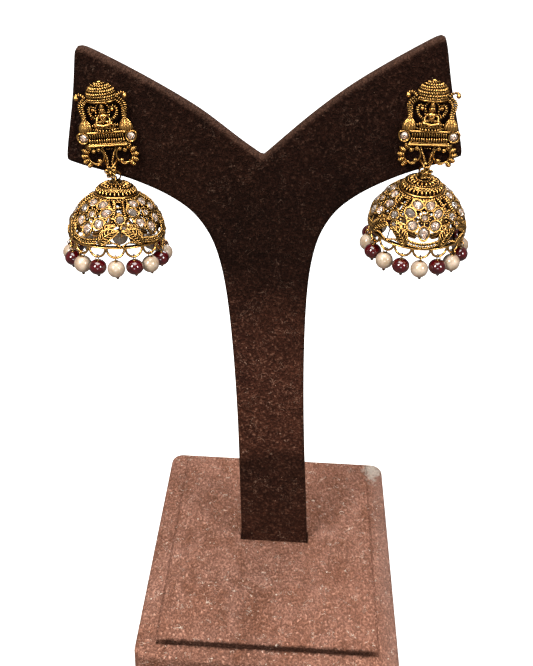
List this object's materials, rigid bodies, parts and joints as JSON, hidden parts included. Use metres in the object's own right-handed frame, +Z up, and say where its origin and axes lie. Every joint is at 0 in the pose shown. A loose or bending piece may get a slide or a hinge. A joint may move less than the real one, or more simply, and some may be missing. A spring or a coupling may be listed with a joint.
{
  "type": "pair of jhumka earrings on display stand",
  "caption": "Pair of antique gold bell drop earrings with figure studs and bead fringes, hung on a suede Y-shaped display stand.",
  "frame": {"origin": "centre of the base's underside", "axes": "+Z up, -Y is the front of the stand, +X to the viewer's right"},
  "size_m": [0.0934, 0.08, 0.1576],
  "materials": {
    "base_suede": "brushed suede, light pinkish brown nap",
    "board_suede": "brushed dark brown suede",
    "gold": "antique gold with dark recesses",
    "pearl": "cream pearl lustre",
    "red_glass": "polished dark ruby"
  },
  "bodies": {
    "stand": {"base": "base_suede", "board": "board_suede", "stud_left": "gold", "post_nut_left": "gold", "stud_right": "gold", "post_nut_right": "gold"},
    "ring_left": {"jump_ring_left": "gold"},
    "bell_body_left": {"bell_left": "gold", "pearl_left_1": "pearl", "red_bead_left_1": "red_glass", "pearl_left_2": "pearl", "red_bead_left_2": "red_glass", "pearl_left_3": "pearl", "red_bead_left_3": "red_glass", "pearl_left_4": "pearl", "red_bead_left_4": "red_glass", "pearl_left_5": "pearl", "red_bead_left_5": "red_glass", "pearl_left_6": "pearl", "red_bead_left_6": "red_glass", "pearl_left_7": "pearl", "red_bead_left_7": "red_glass", "pearl_left_8": "pearl", "red_bead_left_8": "red_glass"},
    "ring_right": {"jump_ring_right": "gold"},
    "bell_body_right": {"bell_right": "gold", "pearl_right_1": "pearl", "red_bead_right_1": "red_glass", "pearl_right_2": "pearl", "red_bead_right_2": "red_glass", "pearl_right_3": "pearl", "red_bead_right_3": "red_glass", "pearl_right_4": "pearl", "red_bead_right_4": "red_glass", "pearl_right_5": "pearl", "red_bead_right_5": "red_glass", "pearl_right_6": "pearl", "red_bead_right_6": "red_glass", "pearl_right_7": "pearl", "red_bead_right_7": "red_glass", "pearl_right_8": "pearl", "red_bead_right_8": "red_glass"}
  },
  "joints": [
    {"name": "ring_swing_left", "type": "hinge", "parent": "stand", "child": "ring_left", "pos_m": [-0.0393, 0.0013, 0.12451], "axis": [0, 1, 0], "range_deg": [-5, 10]},
    {"name": "bell_nod_left", "type": "hinge", "parent": "ring_left", "child": "bell_body_left", "pos_m": [-0.0393, 0.0013, 0.12308], "axis": [1, 0, 0], "range_deg": [-15, 6]},
    {"name": "ring_swing_right", "type": "hinge", "parent": "stand", "child": "ring_right", "pos_m": [0.029, 0.0013, 0.12911], "axis": [0, 1, 0], "range_deg": [-10, 2]},
    {"name": "bell_nod_right", "type": "hinge", "parent": "ring_right", "child": "bell_body_right", "pos_m": [0.029, 0.0013, 0.12768], "axis": [1, 0, 0], "range_deg": [-15, 5]}
  ]
}
